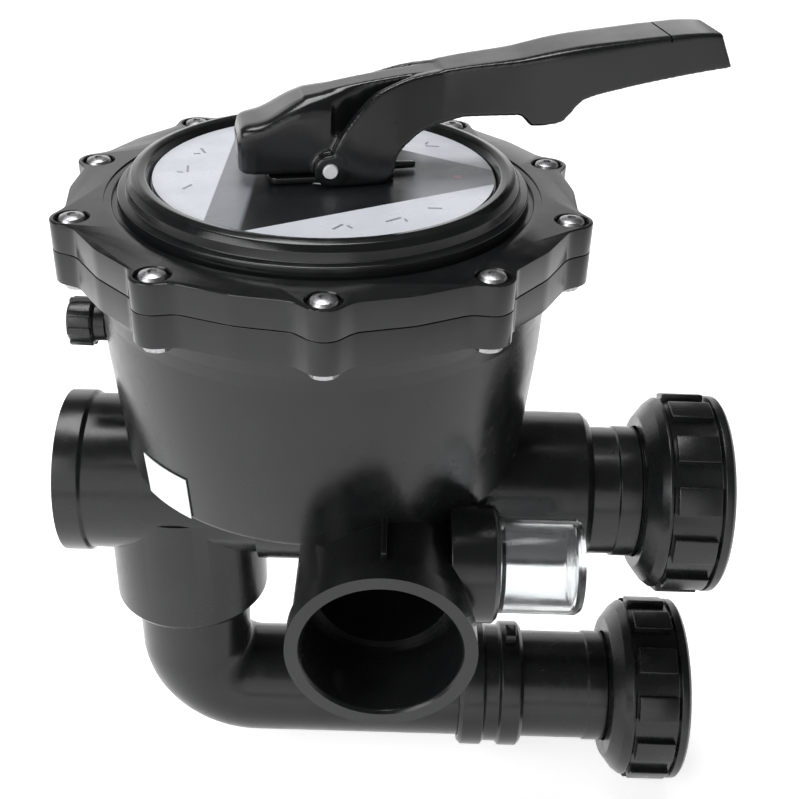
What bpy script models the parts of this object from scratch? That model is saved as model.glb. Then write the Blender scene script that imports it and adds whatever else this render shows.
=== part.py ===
"""Side-mount six-position selector valve for a pool filter.

The origin is the centre of the upper union's sealing face, where the valve meets the filter tank.
+X points at the tank, +Z is up and -Y is the front of the valve. Lengths are in metres.
Shapes are drawn about the valve's own axis: its top flange is at height 0 there.
"""

import math

import bmesh
import bpy
from mathutils import Matrix, Vector

# Driving dimensions
BOLT_CIRCLE = 0.1025            # radius of the ring of cover bolts
BOLTS = 10
BOLT_TURN = math.radians(3.4)   # the bolts sit this far round from the ports
UNION_CENTRES = 0.127           # between the two unions, top to bottom
FACE_X = 0.165                  # valve axis to the unions' sealing faces
UPPER_Z = -0.148                # upper union's centre below the top flange
LOWER_Z = UPPER_Z - UNION_CENTRES
PORT_Z = -0.1445                # centre of the left, front and rear ports
PORT_REACH = 0.120              # valve axis to the left, front and rear port mouths
PORT_R = 0.0380                 # outside of those ports
SOCKET_R = 0.0315               # 63 mm pipe socket
SOCKET_DEPTH = 0.038
FRONT_X = 0.029                 # the front and rear ports stand this far right of the axis
PIPE_R = 0.0275                 # outside of the elbow pipe
LEG_X = -0.0668                 # the elbow pipe's upright leg
BEND_R = 0.032
BOWL_R = 0.0943
LUG_R = 0.0086                  # half-round lug round each bolt
GLASS_Z = -0.1345               # sight glass, on the front port's right side
PLUG_Z = -0.065                 # gauge plug, on the left of the bowl
BOWL_BOTTOM = -0.121
PARTING_Z = -0.0122             # between cover and body
SKIRT_Z = -0.0255               # underside of the bolt columns
CHAMBER_R = 0.084
SEAT_Z = -0.050
LABEL_Z = 0.0072
LABEL_R = 0.0696
PIN_Z = 0.0140                  # height of the handle's pin
PIN_R = 0.0032
SHAFT_R = 0.0100
FORK_HALF = 0.0185              # half the width over the fork's cheeks
BASE_HALF = 0.0134              # half the width of the base that turns under the handle
BASE_TOP = 0.0103
HANDLE_TURN = math.radians(11)  # the handle points this far round from the tank
GAP = 0.0003

# Facets round a full turn
WIDE = 36
PORT = 24
NARROW = 12

BLACK = (0.012, 0.012, 0.013, 1)
STEEL = (0.72, 0.72, 0.73, 1)
WHITE = (0.86, 0.87, 0.88, 1)
RUBBER = (0.02, 0.02, 0.02, 1)
CLEAR = (0.85, 0.9, 0.9, 1)

for old in list(bpy.data.objects):
    bpy.data.objects.remove(old)

valve = bpy.data.objects.new("valve_axis", None)
valve.location = (-FACE_X, 0, -UPPER_Z)
bpy.context.collection.objects.link(valve)

ALONG_X = (0, math.pi / 2, 0)
ALONG_MINUS_X = (0, -math.pi / 2, 0)
ALONG_MINUS_Y = (math.pi / 2, 0, 0)
ALONG_Y = (-math.pi / 2, 0, 0)


def material(name, colour, roughness, metallic=0.0):
    made = bpy.data.materials.new(name)
    made.use_nodes = True
    shader = made.node_tree.nodes["Principled BSDF"]
    shader.inputs["Base Color"].default_value = colour
    shader.inputs["Roughness"].default_value = roughness
    shader.inputs["Metallic"].default_value = metallic
    return made


def place(name, bm, colour=None, roughness=0.3, metallic=0.0, at=(0, 0, 0), turn=(0, 0, 0), parent=None):
    """One object from a bmesh. Without a colour it is a cutter or a helper shape."""
    bmesh.ops.recalc_face_normals(bm, faces=bm.faces)
    mesh = bpy.data.meshes.new(name)
    bm.to_mesh(mesh)
    bm.free()
    mesh.shade_smooth()
    mesh.set_sharp_from_angle(angle=math.radians(30))
    obj = bpy.data.objects.new(name, mesh)
    bpy.context.collection.objects.link(obj)
    obj.location, obj.rotation_euler = at, turn
    obj.parent = parent or valve
    if colour:
        mesh.materials.append(material(name, colour, roughness, metallic))
    else:
        obj.hide_render = True
        obj.display_type = "WIRE"
    return obj


def combine(obj, operation, others, solver="EXACT"):
    """Joins or cuts. MANIFOLD is for the body and the cover, where EXACT leaves open edges."""
    for other in others:
        modifier = obj.modifiers.new(f"{operation.lower()}_{other.name}", "BOOLEAN")
        modifier.operation = operation
        modifier.solver = solver
        modifier.object = other
    return obj


def turned(profile, segments):
    """A closed solid turned about Z from (radius, height) points: a loop, or a line from axis to axis."""
    bm = bmesh.new()
    rings = []
    for radius, height in profile:
        if radius == 0:
            rings.append([bm.verts.new((0, 0, height))])
            continue
        rings.append([
            bm.verts.new((radius * math.cos(a), radius * math.sin(a), height))
            for a in (2 * math.pi * i / segments for i in range(segments))
        ])
    pairs = list(zip(rings, rings[1:]))
    if len(rings[0]) > 1:
        pairs.append((rings[-1], rings[0]))
    for low, high in pairs:
        for i in range(segments):
            j = (i + 1) % segments
            corners = [low[i % len(low)], low[j % len(low)], high[j % len(high)], high[i % len(high)]]
            corners = list(dict.fromkeys(corners))
            if len(corners) > 2:
                bm.faces.new(corners)
    return bm


def rod(radius, low, high, segments=32):
    return turned([(0, low), (radius, low), (radius, high), (0, high)], segments)


def tube(inner, outer, low, high, segments=32):
    return turned([(inner, low), (outer, low), (outer, high), (inner, high)], segments)


def ring(radius, thick, height=0.0, segments=40, sides=6):
    """An O-ring, as a torus of circular section."""
    section = [
        (radius + thick / 2 * math.cos(a), height + thick / 2 * math.sin(a))
        for a in (2 * math.pi * (i + 0.5) / sides for i in range(sides))
    ]
    return turned(section, segments)


def prism(outline, low, high, turn=None):
    """An extruded outline. The outline lies in XY, or in XZ when turn is 'y'."""
    bm = bmesh.new()
    if turn == "y":
        loops = [[bm.verts.new((x, side, z)) for x, z in outline] for side in (low, high)]
    else:
        loops = [[bm.verts.new((x, y, side)) for x, y in outline] for side in (low, high)]
    bm.faces.new(loops[0])
    bm.faces.new(loops[1])
    count = len(outline)
    for i in range(count):
        j = (i + 1) % count
        bm.faces.new((loops[0][i], loops[0][j], loops[1][j], loops[1][i]))
    return bm


def box(low, high):
    outline = [(low[0], low[1]), (high[0], low[1]), (high[0], high[1]), (low[0], high[1])]
    return prism(outline, low[2], high[2])


def arc(centre, radius, start, end, steps):
    """Points on an arc, in degrees."""
    angles = (math.radians(start + (end - start) * i / steps) for i in range(steps + 1))
    return [(centre[0] + radius * math.cos(a), centre[1] + radius * math.sin(a)) for a in angles]


def lugged_outline(waist, lug_r, steps=5):
    """The flange's outline: a shallow waist between half-round lugs at the bolts."""
    points = []
    for i in range(BOLTS):
        middle = 360 / BOLTS * i - 90 + math.degrees(BOLT_TURN)
        angle = math.radians(middle)
        centre = (BOLT_CIRCLE * math.cos(angle), BOLT_CIRCLE * math.sin(angle))
        points += arc(centre, lug_r, middle - 78, middle + 78, steps)
        for turn, scale in ((11, 1.006), (18, 1.0), (25, 1.006)):
            a = math.radians(middle + turn)
            points.append((waist * scale * math.cos(a), waist * scale * math.sin(a)))
    return points


def bolt_places():
    for i in range(BOLTS):
        angle = math.radians(360 / BOLTS * i - 90) + BOLT_TURN
        yield BOLT_CIRCLE * math.cos(angle), BOLT_CIRCLE * math.sin(angle)


def bolt_holes(name, low, high, radius):
    bm = bmesh.new()
    for x, y in bolt_places():
        hole = bmesh.ops.create_cone(
            bm, cap_ends=True, segments=8, radius1=radius, radius2=radius, depth=high - low,
            matrix=Matrix.Translation((x, y, (low + high) / 2)),
        )
        assert hole["verts"]
    return place(name, bm)


def wedge(inner, outer, half_web, middle, steps=5):
    """A chamber's outline: a sixth of a ring, less half a web on each side."""
    out = 30 - math.degrees(math.asin(half_web / outer))
    into = 30 - math.degrees(math.asin(half_web / inner))
    return arc((0, 0), outer, middle - out, middle + out, steps) + arc(
        (0, 0), inner, middle + into, middle - into, 2)


# Body: bowl, flange, ports, chambers
def make_body():
    bowl = turned([
        (0, PARTING_Z - 0.002), (0.0962, PARTING_Z - 0.002), (0.0962, -0.030), (0.0950, -0.036),
        (BOWL_R, -0.042), (0.0935, -0.064), (0.0889, -0.1165), (0.083, BOWL_BOTTOM), (0, BOWL_BOTTOM),
    ], WIDE)
    body = place("valve_body", bowl, BLACK, 0.22)
    left = turned([(0, 0.02), (PORT_R, 0.02), (PORT_R, PORT_REACH - 0.0015),
                   (PORT_R - 0.0015, PORT_REACH), (0, PORT_REACH)], PORT)
    front = turned([(0, -0.02), (PORT_R, -0.02), (PORT_R, PORT_REACH - 0.0015),
                    (PORT_R - 0.0015, PORT_REACH), (0, PORT_REACH)], PORT)
    rear = front.copy()
    sleeve = turned([(0, -0.03), (0.0368, -0.03), (0.0368, 0.1195), (0.0335, 0.1230), (0, 0.1230)], PORT)
    collar = turned([(0, -0.213), (0.0345, -0.213), (0.037, -0.2095), (0.037, -0.15), (0, -0.15)], PORT)
    glass_boss = turned([(0, 0.0270), (0.0245, 0.0270), (0.0245, 0.0450), (0.0225, 0.0470), (0, 0.0470)], 24)
    duct = box((-0.09, -0.006, -0.1895), (0.0, 0.034, -0.118))
    plug_boss = rod(0.0075, 0.085, 0.0955, 16)
    rib_left, rib_right, rib_top = FRONT_X - 0.0011, FRONT_X + 0.0011, PORT_Z + PORT_R + 0.0020
    combine(body, "UNION", [
        place("body_flange", prism(lugged_outline(0.1042, LUG_R), SKIRT_Z, PARTING_Z)),
        place("body_left", left, at=(0, 0, PORT_Z), turn=ALONG_MINUS_X),
        place("body_front", front, at=(FRONT_X, 0, PORT_Z), turn=ALONG_MINUS_Y),
        place("body_rear", rear, at=(FRONT_X, 0, PORT_Z), turn=ALONG_Y),
        place("body_sleeve", sleeve, at=(0, 0, UPPER_Z), turn=ALONG_X),
        place("body_duct", duct),
        place("body_collar", collar, at=(LEG_X, 0, 0)),
        place("body_glass_boss", glass_boss, at=(FRONT_X, -0.075, GLASS_Z), turn=ALONG_X),
        place("body_plug_boss", plug_boss, at=(0, 0, PLUG_Z), turn=ALONG_MINUS_X),
        place("body_front_rib", box((rib_left, -0.108, PORT_Z + 0.030), (rib_right, -0.060, rib_top))),
        place("body_rear_rib", box((rib_left, 0.060, PORT_Z + 0.030), (rib_right, 0.108, rib_top))),
    ], "MANIFOLD")
    cuts = [
        place("cut_chamber", rod(CHAMBER_R, SEAT_Z, 0, WIDE)),
        place("cut_seal_groove", tube(0.0872, 0.0922, PARTING_Z - 0.003, PARTING_Z + 0.001, WIDE)),
        bolt_holes("cut_body_bolts", -0.04, 0.0, 0.0034),
    ]
    for i in range(6):
        outline = wedge(0.015, 0.0825, 0.0025, 60 * i)
        cuts.append(place(f"cut_sector_{i}", prism(outline, -0.1165, SEAT_Z + 0.002)))
    socket = [(0, PORT_REACH - SOCKET_DEPTH), (SOCKET_R, PORT_REACH - SOCKET_DEPTH),
              (SOCKET_R, PORT_REACH - 0.002), (SOCKET_R + 0.002, PORT_REACH + 0.001), (0, PORT_REACH + 0.001)]
    for name, at, turn, end in (
        ("left", (0, 0, PORT_Z), ALONG_MINUS_X, 0.046),
        ("front", (FRONT_X, 0, PORT_Z), ALONG_MINUS_Y, 0.036),
        ("rear", (FRONT_X, 0, PORT_Z), ALONG_Y, 0.036),
    ):
        cuts.append(place(f"cut_{name}_socket", turned(socket, PORT), at=at, turn=turn))
        cuts.append(place(f"cut_{name}_bore", rod(0.0285, end, PORT_REACH - 0.02, PORT), at=at, turn=turn))
    cuts += [
        place("cut_sleeve", rod(0.0304, 0.032, 0.13, PORT), at=(0, 0, UPPER_Z), turn=ALONG_X),
        place("cut_sleeve_rise", box((0.040, -0.015, -0.140), (0.074, 0.015, -0.110))),
        place("cut_collar", rod(PIPE_R + 2 * GAP, -0.22, -0.188, PORT), at=(LEG_X, 0, 0)),
        place("cut_leg", rod(0.0232, -0.19, -0.178, PORT), at=(LEG_X, 0, 0)),
        place("cut_duct", box((-0.086, -0.002, -0.1855), (-0.004, 0.030, -0.1745))),
        place("cut_riser", box((-0.026, 0.016, -0.180), (-0.008, 0.0285, -0.110))),
        place("cut_glass_seat", rod(0.0176, 0.0370, 0.06, 24), at=(FRONT_X, -0.075, GLASS_Z), turn=ALONG_X),
        place("cut_glass_way", rod(0.010, 0.02, 0.045, 16), at=(FRONT_X, -0.075, GLASS_Z), turn=ALONG_X),
        place("cut_plug", rod(0.0050, 0.075, 0.10, 16), at=(0, 0, PLUG_Z), turn=ALONG_MINUS_X),
    ]
    return combine(body, "DIFFERENCE", cuts, "MANIFOLD")


# Cover: flange, stepped dome, stuffing box for the shaft
def make_cover():
    underside = PARTING_Z + GAP
    dome = turned([
        (0.0108, LABEL_Z - 0.0014), (0.0108, -0.020), (0.0165, -0.020), (0.0168, -0.003), (0.072, -0.003),
        (0.0835, -0.0109), (0.0925, -0.0109), (0.0925, -0.0006), (0.0862, -0.0006), (0.0862, -0.0022),
        (0.0840, -0.0022), (0.0838, 0.0030), (0.0804, 0.0034), (0.0798, 0.0070), (0.0780, 0.0094),
        (0.0752, 0.0102), (0.0722, 0.0096), (0.0702, LABEL_Z - 0.0014),
    ], WIDE)
    cover = place("valve_cover", dome, BLACK, 0.2)
    flange = prism(lugged_outline(0.1040, LUG_R), underside, 0)
    cover_rim = place("cover_flange", flange)
    combine(cover_rim, "DIFFERENCE", [place("cut_flange_middle", rod(0.0895, -0.03, 0.01, WIDE))])
    combine(cover, "UNION", [cover_rim], "MANIFOLD")
    pockets = bmesh.new()
    for x, y in bolt_places():
        bmesh.ops.create_cone(pockets, cap_ends=True, segments=10, radius1=0.0068, radius2=0.0068,
                              depth=0.006, matrix=Matrix.Translation((x, y, 0.001)))
    return combine(cover, "DIFFERENCE", [
        place("cut_bolt_pockets", pockets),
        bolt_holes("cut_cover_bolts", -0.02, 0.005, 0.0034),
    ], "MANIFOLD")


def make_bolts():
    for i, (x, y) in enumerate(bolt_places(), 1):
        bolt = turned([(0, -0.0290), (0.0029, -0.0290), (0.0029, -0.0017), (0.0054, -0.0017),
                       (0.0050, 0.0002), (0, 0.0014)], 8)
        place(f"cover_bolt_{i:02}", bolt, STEEL, 0.25, 1.0, at=(x, y, 0))
        nut = tube(0.0034, 0.0062, SKIRT_Z - 0.0033, SKIRT_Z - GAP, 6)
        place(f"cover_nut_{i:02}", nut, STEEL, 0.3, 1.0, at=(x, y, 0))


# Selector: rotor, shaft, seals, spring, turning base, pointer
def make_selector():
    rotor = place("rotor", turned([
        (0, -0.0465), (0.080, -0.0465), (0.080, -0.036), (0.062, -0.033), (0.026, -0.031),
        (0.0155, -0.031), (0.0155, -0.034), (0, -0.034)], WIDE), BLACK, 0.35)
    combine(rotor, "DIFFERENCE", [
        place("cut_rotor_window", prism(wedge(0.028, 0.073, 0.004, 60), -0.05, -0.02)),
        place("cut_rotor_pocket", prism(wedge(0.028, 0.073, 0.004, 240), -0.048, -0.0395)),
    ])
    spider = place("spider_gasket", tube(0.0765, 0.0834, -0.0497, -0.0468, 36), RUBBER, 0.8)
    spokes = []
    for i in range(6):
        spoke = prism([(0, -0.0022), (0.079, -0.0022), (0.079, 0.0022), (0, 0.0022)], -0.0496, -0.0469)
        spokes.append(place(f"gasket_spoke_{i}", spoke, turn=(0, 0, math.radians(60 * i + 30))))
    combine(spider, "UNION", spokes)
    groove = 0.0086
    shaft = [(0, -0.0337), (0.0152, -0.0337), (0.0152, -0.0313), (SHAFT_R, -0.0306)]
    for low in (-0.0178, -0.0098):
        shaft += [(SHAFT_R, low), (groove, low), (groove, low + 0.003), (SHAFT_R, low + 0.003)]
    shaft += [(SHAFT_R, 0.0205), (0.0085, 0.0220), (0, 0.0220)]
    shaft_obj = place("selector_shaft", turned(shaft, 20), BLACK, 0.3)
    combine(shaft_obj, "DIFFERENCE", [place("cut_pin_hole", rod(PIN_R + GAP, -0.02, 0.02, NARROW),
                                            at=(0, 0, PIN_Z), turn=(math.pi / 2, 0, HANDLE_TURN))])
    place("shaft_seal_lower", ring(0.0096, 0.0015, -0.0163, 20), RUBBER, 0.7)
    place("shaft_seal_upper", ring(0.0096, 0.0015, -0.0083, 20), RUBBER, 0.7)
    place("thrust_washer", tube(0.0174, 0.0240, -0.0048, -0.0036, 24), STEEL, 0.35, 1.0)
    place("rotor_washer", tube(0.0174, 0.0240, -0.0306, -0.0294, 24), STEEL, 0.35, 1.0)
    place("rotor_spring", helix(0.0207, 0.0014, -0.0276, -0.0066, 3.5), STEEL, 0.3, 1.0)
    corner = 0.004
    base = prism(rounded_rectangle(-0.024, 0.0270, BASE_HALF, corner), LABEL_Z + 0.0005, BASE_TOP)
    base_obj = place("turning_base", base, BLACK, 0.25, turn=(0, 0, HANDLE_TURN))
    combine(base_obj, "DIFFERENCE", [place("cut_base_bore", rod(0.0106, 0, 0.02, 20))])
    pointer = prism([(0.0273, -0.0022), (0.0365, -0.0013), (0.0380, 0), (0.0365, 0.0013), (0.0273, 0.0022)],
                    LABEL_Z + 0.0008, LABEL_Z + 0.0032)
    place("pointer", pointer, BLACK, 0.3, turn=(0, 0, HANDLE_TURN))
    place("slip_washer", tube(0.0109, 0.0134, LABEL_Z - 0.0011, LABEL_Z + 0.0002, 20), WHITE, 0.5)


def rounded_rectangle(left, right, half, corner):
    points = []
    for x, y, start in ((right, half, 0), (left, half, 90), (left, -half, 180), (right, -half, 270)):
        centre = (x - math.copysign(corner, x), y - math.copysign(corner, y))
        points += arc(centre, corner, start, start + 90, 3)
    return points


def helix(radius, wire, low, high, turns, steps=14, sides=6):
    """A coil spring's wire: a round section swept up a helix, with flat ends capped."""
    bm = bmesh.new()
    rings = []
    count = int(turns * steps)
    for i in range(count + 1):
        a = 2 * math.pi * turns * i / count
        height = low + (high - low) * i / count
        loop = []
        for k in range(sides):
            b = 2 * math.pi * k / sides
            reach = radius + wire * math.cos(b)
            loop.append(bm.verts.new((reach * math.cos(a), reach * math.sin(a), height + wire * math.sin(b))))
        rings.append(loop)
    for one, two in zip(rings, rings[1:]):
        for k in range(sides):
            bm.faces.new((one[k], one[(k + 1) % sides], two[(k + 1) % sides], two[k]))
    bm.faces.new(rings[0])
    bm.faces.new(rings[-1])
    return bm


def loft(sections):
    """A closed solid through sections that each hold the same number of points."""
    bm = bmesh.new()
    loops = [[bm.verts.new(point) for point in section] for section in sections]
    count = len(loops[0])
    for one, two in zip(loops, loops[1:]):
        for i in range(count):
            j = (i + 1) % count
            bm.faces.new((one[i], one[j], two[j], two[i]))
    bm.faces.new(loops[0])
    bm.faces.new(loops[-1])
    return bm


def crowned(stations):
    """Sections along the handle, in mm.

    Each is (x, bottom, shoulder, ridge, half width below, half width at the shoulder, half ridge, lean).
    """
    sections = []
    for x, bottom, shoulder, ridge, low, half, flat, lean in stations:
        section = [(x, -low, bottom), (x - lean, -half, shoulder), (x - lean, -flat, ridge),
                   (x - lean, flat, ridge), (x - lean, half, shoulder), (x, low, bottom)]
        sections.append([Vector(point) / 1000 for point in section])
    return loft(sections)


# Handle: shapes are drawn from the pin, in mm, with X along the arm
# (x, then height, inner side and outer side at the cheek's foot, then the same at its top)
CHEEK = [
    (1.5, -6.3, 13.8, 18.5, 8.3, 13.8, 18.5),
    (5.6, -6.3, 13.8, 18.5, 15.3, 13.0, 18.0),
    (11.0, -6.2, 13.8, 18.3, 21.8, 11.5, 16.5),
    (17.5, -6.2, 13.8, 17.6, 27.9, 10.0, 14.5),
    (20.5, -6.1, 13.8, 17.2, 29.8, 9.5, 13.8),
    (25.0, -4.5, 13.8, 16.6, 31.6, 9.0, 12.8),
    (27.0, 3.8, 13.0, 16.0, 32.3, 8.6, 12.2),
    (32.5, 10.0, 11.0, 14.8, 34.0, 7.5, 11.2),
    (38.0, 13.7, 9.0, 13.6, 35.0, 6.7, 10.5),
    (50.0, 17.4, 6.8, 11.6, 36.6, 5.6, 9.2),
]


def make_handle():
    hinge = bpy.data.objects.new("handle_hinge", None)
    hinge.location, hinge.rotation_euler, hinge.parent = (0, 0, PIN_Z), (0, 0, HANDLE_TURN), valve
    bpy.context.collection.objects.link(hinge)
    arm = crowned([
        (46.0, 16.2, 36.2, 36.5, 12.4, 9.6, 7.0, 0), (56.0, 18.4, 37.6, 38.0, 12.4, 10.2, 8.0, 0),
        (77.0, 18.6, 39.2, 40.6, 13.0, 12.0, 9.0, 0), (83.0, 13.9, 39.8, 41.8, 13.2, 12.6, 9.5, 0),
        (94.0, 15.2, 41.2, 44.0, 13.8, 13.6, 10.0, 0), (103.5, 24.4, 42.4, 45.4, 13.8, 13.8, 10.0, 0),
        (118.0, 28.1, 44.4, 46.9, 13.6, 13.6, 10.5, 0), (136.0, 31.5, 46.7, 48.6, 13.4, 13.4, 11.0, 0),
        (151.0, 33.9, 48.2, 49.5, 13.2, 13.2, 11.5, 0), (165.0, 35.7, 48.2, 49.2, 12.8, 12.8, 11.0, 6.0),
    ])
    hood = crowned([
        (-35.6, -1.0, 8.0, 12.5, 9.0, 9.0, 5.0, 0), (-33.5, -1.8, 13.0, 16.6, 12.6, 12.6, 7.0, 0),
        (-26.0, -1.8, 14.6, 18.0, 14.2, 14.2, 8.0, 0), (-12.0, -1.8, 20.0, 25.3, 14.2, 14.2, 6.5, 0),
        (-7.0, -1.8, 20.0, 27.4, 13.0, 13.0, 6.3, 0),
    ])
    brow = crowned([
        (-9.0, 11.6, 20.0, 27.0, 13.3, 13.1, 6.0, 0), (-3.0, 11.6, 21.5, 28.0, 12.7, 12.3, 5.6, 0),
        (4.0, 11.6, 24.0, 29.2, 10.4, 9.6, 5.2, 0), (10.0, 11.6, 27.0, 30.3, 8.0, 7.2, 5.2, 0),
        (16.0, 11.6, 30.2, 31.3, 6.5, 6.3, 5.2, 0),
    ])
    rib = crowned([
        (-9.0, 11.6, 24.0, 26.6, 6.3, 6.3, 5.0, 0), (8.0, 11.6, 29.2, 30.3, 6.3, 6.3, 5.2, 0),
        (26.0, 11.6, 32.4, 33.3, 6.3, 6.3, 5.4, 0), (50.0, 18.8, 36.0, 36.4, 6.3, 6.3, 5.6, 0),
    ])
    handle = place("handle", arm, BLACK, 0.3, parent=hinge)
    joined = [place("handle_hood", hood, parent=hinge), place("handle_rib", rib, parent=hinge),
              place("handle_brow", brow, parent=hinge),
              place("handle_walls", box((-0.0100, -0.0138, 0.0060), (0.0140, 0.0138, 0.0130)), parent=hinge),
              place("handle_sill", box((-0.0100, -0.0146, -0.0016), (0.0255, 0.0146, 0.0070)), parent=hinge),
              place("handle_cam", box((0.0135, -0.0130, -0.0033), (0.0245, 0.0130, 0.0200)), parent=hinge)]
    for name, sign in (("near", -1), ("far", 1)):
        sections = []
        for x, foot, foot_in, foot_out, top, top_in, top_out in CHEEK:
            section = [(x, sign * foot_in, foot), (x, sign * foot_out, foot),
                       (x, sign * top_out, top), (x, sign * top_in, top)]
            sections.append([Vector(point) / 1000 for point in section])
        joined.append(place(f"handle_cheek_{name}", loft(sections), parent=hinge))
        boss = rod(0.0064, 0.0138, FORK_HALF + 0.0002, NARROW)
        turn = ALONG_Y if sign > 0 else ALONG_MINUS_Y
        joined.append(place(f"handle_boss_{name}", boss, turn=turn, parent=hinge))
    combine(handle, "UNION", joined)
    inside_arm = [(0.0690, 0.0120), (0.0764, 0.0150), (0.0827, 0.0100), (0.0938, 0.0110),
                  (0.1030, 0.0210), (0.1570, 0.0310), (0.1555, 0.0460), (0.1360, 0.0450), (0.0940, 0.0385),
                  (0.0690, 0.0340)]
    inside_hood = [(-0.0300, -0.0100), (0.0130, -0.0100), (0.0130, 0.0105), (-0.0110, 0.0105),
                   (-0.0130, 0.0190), (-0.0260, 0.0130), (-0.0300, 0.0110)]
    combine(handle, "DIFFERENCE", [
        place("cut_arm_inside", prism(inside_arm, -0.0098, 0.0098, "y"), parent=hinge),
        place("cut_hood_inside", prism(inside_hood, -0.0110, 0.0110, "y"), parent=hinge),
        place("cut_handle_pin", rod(PIN_R + GAP, -0.03, 0.03, NARROW), turn=ALONG_Y, parent=hinge),
    ])
    end = FORK_HALF + 0.0003
    place("handle_pin", turned([(0, -end), (0.0024, -end), (PIN_R, 0.0008 - end), (PIN_R, end - 0.0008),
                                (0.0024, end), (0, end)], NARROW),
          WHITE, 0.25, turn=ALONG_Y, parent=hinge)


# Unions, elbow pipe and coupling
def make_union(level, z, neck, start):
    """A union's tail, its seal in the face groove, and its ribbed nut."""
    face, flange = 0.0, -0.008
    tail = turned([
        (neck - 0.0045, start), (neck, start), (neck, flange), (0.0385, flange), (0.0385, face),
        (0.0345, face), (0.0345, -0.003), (0.0305, -0.003), (0.0305, face), (neck - 0.0045, face)], PORT)
    at = (FACE_X, 0, z)
    place(f"union_tail_{level}", tail, BLACK, 0.25, at=at, turn=ALONG_X)
    place(f"union_seal_{level}", ring(0.0325, 0.0024, -0.0016, PORT, 5), RUBBER, 0.7, at=at, turn=ALONG_X)
    bore = neck + 0.0010
    nut = turned([
        (bore, -0.0185), (0.0365, -0.0185), (0.0448, -0.0105), (0.0448, 0.0120), (0.0464, 0.0135),
        (0.0464, 0.0172), (0.0444, 0.0188), (0.0402, 0.0188), (0.0402, -0.0084), (bore, -0.0084)], 24)
    nut_obj = place(f"union_nut_{level}", nut, BLACK, 0.3, at=at, turn=ALONG_X)
    ribs = []
    for i in range(12):
        a = 2 * math.pi * i / 12
        bm = box((0.0420, -0.0048, -0.0100), (0.0472, 0.0048, 0.0136))
        bmesh.ops.rotate(bm, verts=bm.verts, matrix=Matrix.Rotation(a, 3, "Z"))
        ribs.append(place(f"nut_rib_{level}_{i}", bm, at=at, turn=ALONG_X))
    combine(nut_obj, "UNION", ribs)


def make_elbow():
    """The pipe from the collar down, round the bend and along to the coupling."""
    bm = bmesh.new()
    inner = 0.0228
    centre = Vector((LEG_X + BEND_R, 0, LOWER_Z + BEND_R))
    stations = [(Vector((LEG_X, 0, -0.1905)), 0.0)]
    for i in range(9):
        a = math.radians(90 * i / 8)
        stations.append((centre + Vector((-BEND_R * math.cos(a), 0, -BEND_R * math.sin(a))), a))
    stations.append((Vector((0.0855, 0, LOWER_Z)), math.pi / 2))
    sides = PORT
    loops = {}
    for radius in (PIPE_R, inner):
        loops[radius] = []
        for point, a in stations:
            out = Vector((math.cos(a), 0, math.sin(a)))
            loops[radius].append([
                bm.verts.new(point + radius * (math.cos(b) * out + math.sin(b) * Vector((0, 1, 0))))
                for b in (2 * math.pi * k / sides for k in range(sides))
            ])
    for radius in loops:
        for one, two in zip(loops[radius], loops[radius][1:]):
            for k in range(sides):
                bm.faces.new((one[k], one[(k + 1) % sides], two[(k + 1) % sides], two[k]))
    for end in (0, -1):
        outer, bore = loops[PIPE_R][end], loops[inner][end]
        for k in range(sides):
            bm.faces.new((outer[k], outer[(k + 1) % sides], bore[(k + 1) % sides], bore[k]))
    place("elbow_pipe", bm, BLACK, 0.25)
    coupling = turned([
        (PIPE_R + 2 * GAP, 0.0695), (0.0300, 0.0695), (0.0322, 0.0715), (0.0322, 0.0815), (0.0302, 0.0830),
        (0.0302, 0.0895), (0.0322, 0.0910), (0.0322, 0.1000), (0.0300, 0.1020),
        (PIPE_R + 2 * GAP, 0.1020)], PORT)
    tab = box((0.0925, -0.0045, LOWER_Z + 0.0300), (0.0985, 0.0045, LOWER_Z + 0.0372))
    coupling_obj = place("pipe_coupling", coupling, BLACK, 0.25, at=(0, 0, LOWER_Z), turn=ALONG_X)
    combine(coupling_obj, "UNION", [place("coupling_tab", tab)])


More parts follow.
